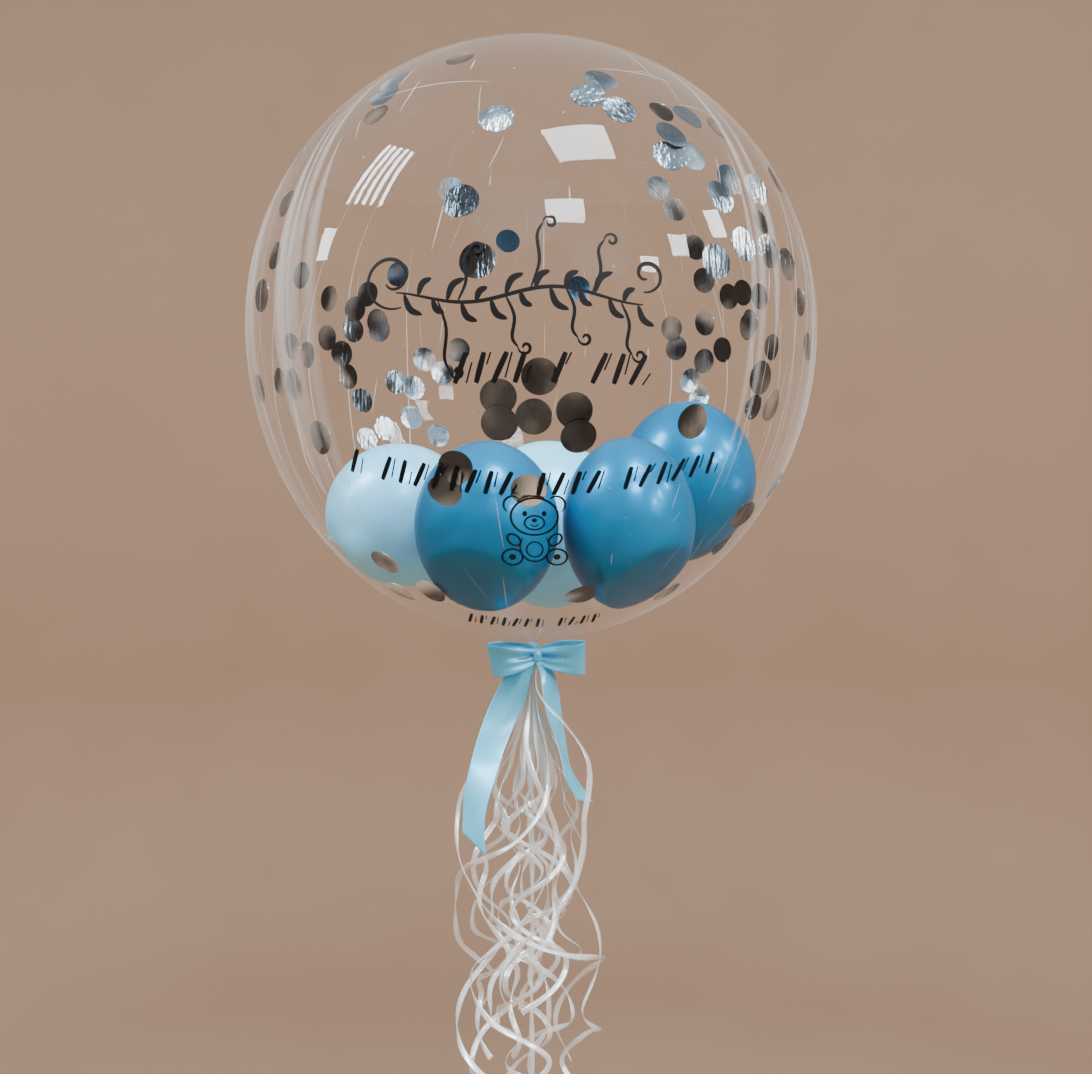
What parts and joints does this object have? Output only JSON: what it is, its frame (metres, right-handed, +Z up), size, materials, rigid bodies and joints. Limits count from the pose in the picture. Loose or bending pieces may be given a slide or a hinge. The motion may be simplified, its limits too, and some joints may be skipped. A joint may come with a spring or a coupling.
{
  "type": "party balloon",
  "caption": "Clear film bubble balloon with small balloons and foil confetti sealed inside, a satin bow at its neck and curling ribbons hanging below.",
  "frame": {"origin": "the tie round the bubble's neck, on the bubble's axis, where the balloon is held up", "axes": "+Z up through the bubble's crown, -Y the side with the print, +X to the right of it"},
  "size_m": [0.5, 0.5, 0.978],
  "materials": {
    "clear_film": "thin clear glossy film",
    "aqua_satin": "satin ribbon with a soft sheen",
    "white_ribbon": "pearly white translucent curling ribbon"
  },
  "bodies": {
    "root": {"film_bubble": "clear_film", "satin_bow": "aqua_satin", "curling_ribbon_01": "white_ribbon", "curling_ribbon_02": "white_ribbon", "curling_ribbon_03": "white_ribbon", "curling_ribbon_04": "white_ribbon", "curling_ribbon_05": "white_ribbon", "curling_ribbon_06": "white_ribbon", "curling_ribbon_07": "white_ribbon", "curling_ribbon_08": "white_ribbon", "curling_ribbon_09": "white_ribbon", "curling_ribbon_10": "white_ribbon", "curling_ribbon_11": "white_ribbon", "curling_ribbon_12": "white_ribbon", "curling_ribbon_13": "white_ribbon", "curling_ribbon_14": "white_ribbon", "curling_ribbon_15": "white_ribbon", "curling_ribbon_16": "white_ribbon", "curling_ribbon_17": "white_ribbon", "curling_ribbon_18": "white_ribbon", "curling_ribbon_19": "white_ribbon", "curling_ribbon_20": "white_ribbon", "tether_ribbon": "white_ribbon", "tether_loop": "white_ribbon"}
  },
  "joints": []
}
